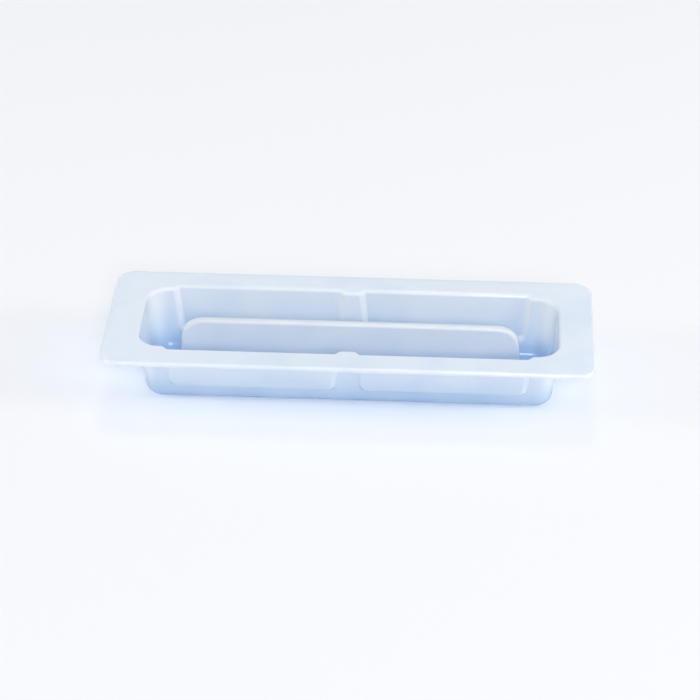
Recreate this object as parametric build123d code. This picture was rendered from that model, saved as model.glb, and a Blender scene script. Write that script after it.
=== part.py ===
from build123d import *
import math
import os

# Multichannel reagent reservoir: one tray formed from a single sheet of tinted plastic.
# Millimetres. +X runs along the trough and +Z is up. The origin is under the middle of
# the tray, in the plane that it stands on.

# Sheet and draft
sheet = 0.5
wall_draft = 6.0

# Flange, the flat border that the tray is carried by, with its edge turned down
flange_length = 140.0
flange_width = 48.0
flange_corner = 5.5
tray_height = 20.0
lip_drop = 1.3
lip_bend = 0.8

# Basin, set in from the flange's edges at its ends and along its widened sides
end_border = 10.0
side_border = 7.8
corner_spare = 1.35
floor_bend = 3.2
rim_bend = 1.2

# Shallow pads that widen the long walls, two to a wall with a rib left between them.
# lobe_flat is the flat wall left between a pad's fold and the corner beside it.
pad_step = 1.5
lobe_flat = 0.35
rib_width = 4.2
pad_floor_gap = 5.0
pad_corner = 2.5
pad_side_slope = 40.0
pad_crease = 0.9
pad_edge_spare = 0.2

# Hollow divider that stands up from the floor along the middle
divider_end_gap = 11.7
divider_crest = 2.6
divider_crest_flat = 0.6
divider_drop = 0.4
divider_draft = 5.0
divider_shoulder = 6.5
divider_foot = 1.6

# How far the forming bodies run past the faces that they cut
overrun = 2.0

wall_angle = math.radians(wall_draft)
wall_lean = math.tan(wall_angle)
wall_offset = 1.0 / math.cos(wall_angle)
pad_angle = math.radians(pad_side_slope)
pad_offset = (1.0 - math.sin(pad_angle)) / math.cos(pad_angle)
divider_angle = math.radians(divider_draft)
divider_lean = math.tan(divider_angle)
divider_offset = (1.0 - math.sin(divider_angle)) / math.cos(divider_angle)

# The mouth is measured at the top of the flange, between the lobes and at the ribs
mouth_length = flange_length - 2 * end_border
mouth_width = flange_width - 2 * (side_border + pad_step)
basin_depth = tray_height - sheet

# A corner narrows with the draft, and at the floor it still clears the floor's bend
mouth_corner = floor_bend + corner_spare + basin_depth * wall_lean

pad_edge = rim_bend + pad_edge_spare
fold_reach = pad_edge * math.tan(math.radians(90 - pad_side_slope) / 2)
pad_far_end = mouth_length / 2 - mouth_corner - lobe_flat - fold_reach
divider_length = mouth_length - 2 * divider_end_gap
divider_edge = (divider_crest - divider_crest_flat) / 2

# Both faces of the sheet come from the same functions. grow is how far a face lies
# outside the basin's inner one: 0 for the inner face, and the sheet's thickness for the
# outer one. A bend that is hollow on the inner face is rounded on both, a sheet apart.
# A fold is rounded on the inner face, and crisp on its hollow side.


def mouth_box(grow):
    """The plain drafted basin with a rounded floor, its faces moved out by grow."""
    spread = overrun * wall_lean + grow * wall_offset
    top = Plane.XY.offset(tray_height + overrun) * RectangleRounded(
        mouth_length + 2 * spread,
        mouth_width + 2 * spread,
        mouth_corner + spread,
    )
    depth = basin_depth + overrun + grow
    box = extrude(top, amount=depth, dir=(0, 0, -1), taper=wall_draft)
    floor = box.faces().sort_by(Axis.Z)[0]
    return fillet(floor.edges(), floor_bend + grow)


def wall_plane(grow):
    """The plane of the +Y wall, facing out, with its own Y running down the wall."""
    return Plane(
        origin=(0, mouth_width / 2 + grow * wall_offset, tray_height),
        x_dir=(1, 0, 0),
        z_dir=(0, 1, -wall_lean),
    )


def lies_in(edge, plane, lift):
    """Whether an edge, folded onto the +Y side, lies in a plane lifted by lift."""
    points = [edge @ 0, edge @ 0.5, edge @ 1]
    folded = [Vector(p.X, abs(p.Y), p.Z) for p in points]
    return all(abs(plane.to_local_coords(p).Z - lift) < 0.001 for p in folded)


def wall_pads(grow):
    """The four pads, their faces moved out by grow and their outer creases rounded."""
    wall = wall_plane(grow)
    side = grow * pad_offset
    near = rib_width / 2 - side
    far = pad_far_end + side
    low = (basin_depth - pad_floor_gap) * wall_offset + side
    outline = Polyline(
        (near, -overrun),
        (far + overrun * wall_lean, -overrun),
        (far - low * wall_lean, low),
        (near + low * wall_lean, low),
        close=True,
    )
    face = make_face(outline)
    face = fillet(face.vertices().sort_by(Axis.Y)[-2:], pad_corner)
    pad = wall * extrude(face, amount=pad_step, taper=pad_side_slope)
    outer = pad.edges().filter_by(lambda e: lies_in(e, wall, pad_step))
    outer = outer.filter_by(lambda e: e.center().Z < tray_height)
    pad = fillet(outer, pad_crease + grow)
    right = [pad, mirror(pad, about=Plane.XZ)]
    return right + [mirror(p, about=Plane.YZ) for p in right]


def divider(grow):
    """The ridge along the middle, drafted all round, its faces moved in by grow."""
    base_z = sheet - grow - overrun
    rise = tray_height - divider_drop - grow - base_z
    flare = rise * divider_lean - grow * divider_offset
    base_length = divider_length + 2 * flare
    base_width = divider_crest + 2 * flare
    on_base = (Align.CENTER, Align.MIN)
    long_view = Trapezoid(base_length, rise, 90 - divider_draft, align=on_base)
    shoulders = long_view.vertices().sort_by(Axis.Y)[-2:]
    long_view = fillet(shoulders, divider_shoulder - grow)
    end_view = Trapezoid(base_width, rise, 90 - divider_draft, align=on_base)
    up = Pos(0, base_z)
    ridge = extrude(Plane.XZ * up * long_view, amount=base_width, both=True)
    ridge = ridge & extrude(Plane.YZ * up * end_view, amount=base_length, both=True)
    if grow:
        return ridge
    sides = ridge.faces().sort_by(Axis.Y)
    borders = sides[0].edges() + sides[-1].edges()
    borders = borders.filter_by(lambda e: e.center().Z > sheet)
    return fillet(borders, divider_edge)


def pad_folds(body):
    """The edges that the pads make with the +Y and -Y walls, below the rim."""
    wall = wall_plane(0)
    folds = body.edges().filter_by(lambda e: lies_in(e, wall, 0))
    folds = folds.filter_by(lambda e: abs(e.center().X) < pad_far_end)
    return folds.filter_by(lambda e: sheet + floor_bend < e.center().Z < tray_height)


def basin(grow):
    """The space that the tray holds, its faces moved out into the sheet by grow."""
    body = mouth_box(grow) + wall_pads(grow)
    if not grow:
        body = fillet(pad_folds(body), pad_edge)
    body = body - divider(grow)
    floor = body.faces().sort_by(Axis.Z)[0]
    foot = floor.inner_wires()[0].edges()
    return fillet(foot, divider_foot + grow)


def flange_block(inset):
    """The flange as a block down to the lip's edge, its faces moved in by inset."""
    outline = RectangleRounded(
        flange_length - 2 * inset,
        flange_width - 2 * inset,
        flange_corner - inset,
    )
    bottom = Plane.XY.offset(tray_height - lip_drop)
    return extrude(bottom * outline, amount=lip_drop - inset)


flange = flange_block(0)
flange = fillet(flange.faces().sort_by(Axis.Z)[-1].edges(), lip_bend)
flange = flange - flange_block(sheet)

above = Plane.XY.offset(tray_height) * Box(
    flange_length,
    flange_width,
    2 * overrun,
    align=(Align.CENTER, Align.CENTER, Align.MIN),
)
tray = flange + (basin(sheet) - above) - basin(0)
top_face = tray.faces().sort_by(Axis.Z)[-1]
tray = fillet(top_face.inner_wires()[0].edges(), rim_bend)

os.makedirs("parts", exist_ok=True)
export_step(tray, "parts/reservoir_tray.step")
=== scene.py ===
"""Looks, light and camera for a reagent reservoir formed from one tinted plastic sheet."""

import math

import bpy
from bpy.props import FloatProperty, FloatVectorProperty, PointerProperty
from bpy.types import Operator, Panel, PropertyGroup
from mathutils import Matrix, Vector


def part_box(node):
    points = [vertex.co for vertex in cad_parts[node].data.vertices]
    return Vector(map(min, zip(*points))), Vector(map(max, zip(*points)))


bl_info = {
    "name": "Reagent Reservoir Studio",
    "version": (1, 0, 0),
    "blender": (4, 5, 0),
    "location": "3D View > Sidebar > Reservoir",
    "description": "Finishes the formed tray and sets a pale studio round it",
    "category": "Object",
}

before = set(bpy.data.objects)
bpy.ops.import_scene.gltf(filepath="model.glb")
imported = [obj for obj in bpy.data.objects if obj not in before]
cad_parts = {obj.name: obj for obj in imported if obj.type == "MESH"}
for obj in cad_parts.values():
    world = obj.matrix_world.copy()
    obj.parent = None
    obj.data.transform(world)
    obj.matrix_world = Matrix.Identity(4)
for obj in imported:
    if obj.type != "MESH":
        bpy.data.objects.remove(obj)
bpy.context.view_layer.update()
TRAY = "reservoir_tray"
MM = 0.001

PVC_IOR = 1.53
# How square a face is to the tray's three directions: 1 on a flat one. The painted
# highlight on the bends starts on faces 11 degrees off, past the walls' draft, and is full
# on faces 37 degrees off.
FLAT_ENOUGH = 0.98
FULLY_BENT = 0.8
# Painted shade: the tint darkens towards the floor along this curve.
SHADE_CURVE = 2.6  # above 1, the deeper tint keeps to the lower part of the tray
NOISE_LOW, NOISE_HIGH = 0.3, 0.7  # the range that a noise keeps to nearly everywhere
CLOUD_STRENGTH = 0.1

FLOOR_SIDE = 4.0
FLOOR_GAP = 0.05 * MM  # keeps the floor clear of the tray's flat underside
# Each lamp's name, its place and width in metres, and its power in watts. The front is -y.
LAMPS = (
    ("key", (0.43, -2.49, 1.63), 0.86, 33.0),
    ("side_left", (-1.3, -0.25, 0.65), 0.4, 3.8),
    ("side_right", (1.3, -0.25, 0.65), 0.4, 5.9),
    ("top", (0, 0.5, 1.5), 0.35, 3.2),
)
WHITE = (1, 1, 1, 1)

# Where the sockets of a colour mix lie, as its names also belong to its other kinds.
MIX_SHARE, MIX_FIRST, MIX_SECOND = 0, 6, 7
MIX_OUT = 2


def linear(hex_colour):
    """A hex colour such as "#DCE8F4" as linear red, green and blue."""
    parts = [int(hex_colour[i : i + 2], 16) / 255 for i in (1, 3, 5)]
    return tuple(
        c / 12.92 if c <= 0.04045 else ((c + 0.055) / 1.055) ** 2.4 for c in parts
    )


def add_node(tree, kind, settings=(), links=()):
    """One node with its settings and links, each by name or by the socket's number."""
    node = tree.nodes.new(kind)
    for name, value in dict(settings).items():
        if name in node.inputs.keys() or isinstance(name, int):
            node.inputs[name].default_value = value
        else:
            setattr(node, name, value)
    for name, socket in dict(links).items():
        tree.links.new(socket, node.inputs[name])
    return node


class TraySettings(PropertyGroup):
    """Colours and finish of the formed sheet."""

    rim_colour: FloatVectorProperty(
        name="Rim",
        description="Tint of the flange and the upper walls",
        subtype="COLOR",
        default=linear("#E9EFF6"),
    )
    # Painted shade: this tint darkens the lower part of the tray, as shade would in the
    # basin.
    deep_shade_colour: FloatVectorProperty(
        name="Deep",
        description="Tint at the tray's floor, where light has come through the most sheet",
        subtype="COLOR",
        default=linear("#AAC8E4"),
    )
    passed_colour: FloatVectorProperty(
        name="Passed light",
        description="What one face of the sheet lets through of a lamp's light",
        subtype="COLOR",
        default=linear("#CBD6E5"),
    )
    # Painted highlight: the bends are tinted paler, in place of the light they catch.
    bend_highlight_colour: FloatVectorProperty(
        name="Bends",
        description="Tint where forming has bent the sheet and turned it milky",
        subtype="COLOR",
        default=linear("#F7FAFD"),
    )
    # Strength of the painted highlight on the bends.
    bend_highlight_strength: FloatProperty(
        name="Milkiness",
        description="How far the bends turn to their own tint",
        subtype="FACTOR",
        min=0,
        max=1,
        default=0.85,
    )
    clearness: FloatProperty(
        name="Clearness",
        description="Share of the light that goes straight on through the sheet",
        subtype="FACTOR",
        min=0,
        max=1,
        default=0.35,
    )
    scatter: FloatProperty(
        name="Scatter",
        description="How far light spreads inside the sheet before it comes out",
        unit="LENGTH",
        default=0.7 * MM,
    )
    roughness: FloatProperty(
        name="Roughness",
        description="Roughness of the sheet's formed surface",
        subtype="FACTOR",
        min=0,
        max=1,
        default=0.12,
    )
    cloud_size: FloatProperty(
        name="Clouds",
        description="Size of the patches where the sheet is a little thicker or thinner",
        unit="LENGTH",
        default=14 * MM,
    )
    waver_size: FloatProperty(
        name="Waver",
        description="Length of the slow waves in the sheet's surface",
        unit="LENGTH",
        default=9 * MM,
    )
    waver_height: FloatProperty(
        name="Waver height",
        description="Height of the slow waves in the sheet's surface",
        unit="LENGTH",
        default=0.03 * MM,
    )


class StudioSettings(PropertyGroup):
    """Floor, lamps and camera."""

    floor_colour: FloatVectorProperty(
        name="Floor",
        description="Colour of the floor and backdrop",
        subtype="COLOR",
        default=linear("#F4F5F8"),
    )
    elevation: FloatProperty(
        name="Elevation",
        description="Height of the camera above the tray, as an angle",
        subtype="ANGLE",
        default=math.radians(34.4),
    )
    heading: FloatProperty(
        name="Heading",
        description="How far the camera stands to the right of the tray's middle",
        subtype="ANGLE",
        default=math.radians(3.0),
    )
    distance: FloatProperty(
        name="Distance",
        description="From the camera to the tray's middle",
        unit="LENGTH",
        default=0.722,
    )
    lens: FloatProperty(
        name="Lens",
        description="Focal length on a 36 mm wide sensor, in millimetres",
        unit="CAMERA",
        default=128.0,
    )
    daylight: FloatProperty(
        name="Daylight",
        description="Strength of the even white light from all round",
        default=0.52,
    )


def sheet_material(settings):
    """Rigid PVC, thermoformed: a hazy tint that light passes through, and a soft gloss."""
    material = bpy.data.materials.new("thermoformed_pvc_sheet")
    material.use_nodes = True
    tree = material.node_tree
    tree.nodes.clear()
    around = add_node(tree, "ShaderNodeTexCoord")
    place = around.outputs["Object"]

    # The tint is darker towards the floor, a painted shade for the lower basin,
    # and uneven, as a hot sheet never draws down at quite the same rate all over. Real
    # clouds are finer and fainter than these, which are as coarse as they need to show.
    low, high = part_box(TRAY)
    height = add_node(tree, "ShaderNodeSeparateXYZ", {}, {"Vector": place})
    depth = add_node(
        tree,
        "ShaderNodeMapRange",
        {"From Min": high.z, "From Max": low.z},
        {"Value": height.outputs["Z"]},
    )
    painted_shade = add_node(
        tree,
        "ShaderNodeMath",
        {"operation": "POWER", 1: SHADE_CURVE},
        {0: depth.outputs["Result"]},
    )
    cloud = add_node(
        tree,
        "ShaderNodeTexNoise",
        {"Scale": 1 / settings.cloud_size, "Detail": 2.0},
        {"Vector": place},
    )
    uneven = add_node(
        tree,
        "ShaderNodeMapRange",
        {
            "From Min": NOISE_LOW,
            "From Max": NOISE_HIGH,
            "To Min": -CLOUD_STRENGTH,
            "To Max": CLOUD_STRENGTH,
        },
        {"Value": cloud.outputs["Fac"]},
    )
    shade_and_clouds = add_node(
        tree,
        "ShaderNodeMath",
        {"operation": "ADD", "use_clamp": True},
        {0: painted_shade.outputs["Value"], 1: uneven.outputs["Result"]},
    )

    # The bends are painted paler, a painted highlight along each fold. The flange, the
    # walls and the floor are nearly square to the tray's three directions, and what isn't
    # is a bend.
    facing = add_node(
        tree,
        "ShaderNodeVectorMath",
        {"operation": "ABSOLUTE"},
        {0: around.outputs["Normal"]},
    )
    way = add_node(
        tree, "ShaderNodeSeparateXYZ", {}, {"Vector": facing.outputs["Vector"]}
    )
    sideways = add_node(
        tree,
        "ShaderNodeMath",
        {"operation": "MAXIMUM"},
        {0: way.outputs["X"], 1: way.outputs["Y"]},
    )
    squareness = add_node(
        tree,
        "ShaderNodeMath",
        {"operation": "MAXIMUM"},
        {0: sideways.outputs["Value"], 1: way.outputs["Z"]},
    )
    bend = add_node(
        tree,
        "ShaderNodeMapRange",
        {"From Min": FLAT_ENOUGH, "From Max": FULLY_BENT, "To Max": settings.bend_highlight_strength},
        {"Value": squareness.outputs["Value"]},
    )
    upper = add_node(
        tree,
        "ShaderNodeMix",
        {
            "data_type": "RGBA",
            MIX_FIRST: (*settings.rim_colour, 1),
            MIX_SECOND: (*settings.bend_highlight_colour, 1),
        },
        {MIX_SHARE: bend.outputs["Result"]},
    )
    colour = add_node(
        tree,
        "ShaderNodeMix",
        {"data_type": "RGBA", MIX_SECOND: (*settings.deep_shade_colour, 1)},
        {MIX_SHARE: shade_and_clouds.outputs["Value"], MIX_FIRST: upper.outputs[MIX_OUT]},
    )

    # A formed sheet is never quite flat, and its gloss shows that as a slow waver. This
    # one too is coarser than a real sheet's, so that it shows.
    waver = add_node(
        tree,
        "ShaderNodeTexNoise",
        {"Scale": 1 / settings.waver_size, "Detail": 1.0},
        {"Vector": place},
    )
    relief = add_node(
        tree,
        "ShaderNodeBump",
        {"Distance": settings.waver_height},
        {"Height": waver.outputs["Fac"]},
    )

    # Light that doesn't pass straight on scatters inside, all three colours alike.
    sheet = add_node(
        tree,
        "ShaderNodeBsdfPrincipled",
        {
            "IOR": PVC_IOR,
            "Roughness": settings.roughness,
            "Transmission Weight": settings.clearness,
            "Subsurface Weight": 1.0,
            "Subsurface Radius": (1.0, 1.0, 1.0),
            "Subsurface Scale": settings.scatter,
        },
        {"Base Color": colour.outputs[MIX_OUT], "Normal": relief.outputs["Normal"]},
    )

    # Lamps reach through the sheet as daylight does, tinted at each of its two faces.
    passed = add_node(
        tree, "ShaderNodeBsdfTransparent", {"Color": (*settings.passed_colour, 1)}
    )
    ray = add_node(tree, "ShaderNodeLightPath")
    shader = add_node(
        tree,
        "ShaderNodeMixShader",
        {},
        {
            0: ray.outputs["Is Shadow Ray"],
            1: sheet.outputs["BSDF"],
            2: passed.outputs["BSDF"],
        },
    )
    add_node(
        tree, "ShaderNodeOutputMaterial", {}, {"Surface": shader.outputs["Shader"]}
    )
    return material


def board_material(colour):
    """Painted board: one matt colour, with hardly any shine, that takes soft shadows."""
    material = bpy.data.materials.new("painted_board")
    material.use_nodes = True
    shader = material.node_tree.nodes["Principled BSDF"]
    shader.inputs["Base Color"].default_value = (*colour, 1)
    shader.inputs["Roughness"].default_value = 0.9
    shader.inputs["Specular IOR Level"].default_value = 0.1
    return material


class RESERVOIR_OT_finish_tray(Operator):
    """Give the formed tray its tinted sheet"""

    bl_idname = "reservoir.finish_tray"
    bl_label = "Finish Tray"

    def execute(self, context):
        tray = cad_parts[TRAY]
        tray.data.materials.clear()
        tray.data.materials.append(sheet_material(context.scene.reservoir_tray))
        return {"FINISHED"}


def aim(thing, place, target):
    """Put a lamp or a camera at a place and turn it to look at the target."""
    thing.location = place
    thing.rotation_euler = (target - place).to_track_quat("-Z", "Y").to_euler()


def soft_lamp(name, place, size, power, target):
    """A round lamp, wide enough for shadows without a hard edge."""
    data = bpy.data.lights.new(name, "AREA")
    data.shape = "DISK"
    data.size = size
    data.energy = power
    lamp = bpy.data.objects.new(name, data)
    bpy.context.collection.objects.link(lamp)
    aim(lamp, Vector(place), target)


class RESERVOIR_OT_build_stage(Operator):
    """Make the floor, the lamps and the camera"""

    bl_idname = "reservoir.build_stage"
    bl_label = "Build Stage"

    def execute(self, context):
        studio = context.scene.reservoir_studio
        low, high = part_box(TRAY)
        middle = (low + high) / 2
        ground = (0, 0, low.z - FLOOR_GAP)
        bpy.ops.mesh.primitive_plane_add(size=FLOOR_SIDE, location=ground)
        floor = context.object
        floor.name = "floor"
        floor.data.materials.append(board_material(studio.floor_colour))

        for name, place, size, power in LAMPS:
            soft_lamp(name, place, size, power, middle)
        world = bpy.data.worlds.new("studio")
        world.use_nodes = True
        sky = world.node_tree.nodes["Background"]
        sky.inputs["Color"].default_value = WHITE
        sky.inputs["Strength"].default_value = studio.daylight
        context.scene.world = world

        data = bpy.data.cameras.new("camera")
        data.lens = studio.lens
        camera = bpy.data.objects.new("camera", data)
        context.collection.objects.link(camera)
        across = studio.distance * math.cos(studio.elevation)
        offset = Vector(
            (
                across * math.sin(studio.heading),
                -across * math.cos(studio.heading),
                studio.distance * math.sin(studio.elevation),
            )
        )
        aim(camera, middle + offset, middle)
        context.scene.camera = camera
        context.scene.view_settings.view_transform = "Standard"
        return {"FINISHED"}


class RESERVOIR_PT_panel(Panel):
    """The tray's and the studio's settings, with a button for each step"""

    bl_label = "Reagent Reservoir"
    bl_space_type = "VIEW_3D"
    bl_region_type = "UI"
    bl_category = "Reservoir"

    def draw(self, context):
        layout = self.layout
        for settings in (context.scene.reservoir_tray, context.scene.reservoir_studio):
            for name in settings.__annotations__:
                layout.prop(settings, name)
        layout.operator(RESERVOIR_OT_finish_tray.bl_idname)
        layout.operator(RESERVOIR_OT_build_stage.bl_idname)


CLASSES = (
    TraySettings,
    StudioSettings,
    RESERVOIR_OT_finish_tray,
    RESERVOIR_OT_build_stage,
    RESERVOIR_PT_panel,
)


def register():
    """Make the settings, the operators and the panel known to the program."""
    for cls in CLASSES:
        bpy.utils.register_class(cls)
    bpy.types.Scene.reservoir_tray = PointerProperty(type=TraySettings)
    bpy.types.Scene.reservoir_studio = PointerProperty(type=StudioSettings)


def unregister():
    """Take them out again."""
    del bpy.types.Scene.reservoir_studio
    del bpy.types.Scene.reservoir_tray
    for cls in reversed(CLASSES):
        bpy.utils.unregister_class(cls)


def main():
    register()
    bpy.ops.reservoir.finish_tray()
    bpy.ops.reservoir.build_stage()


if __name__ == "__main__":
    main()
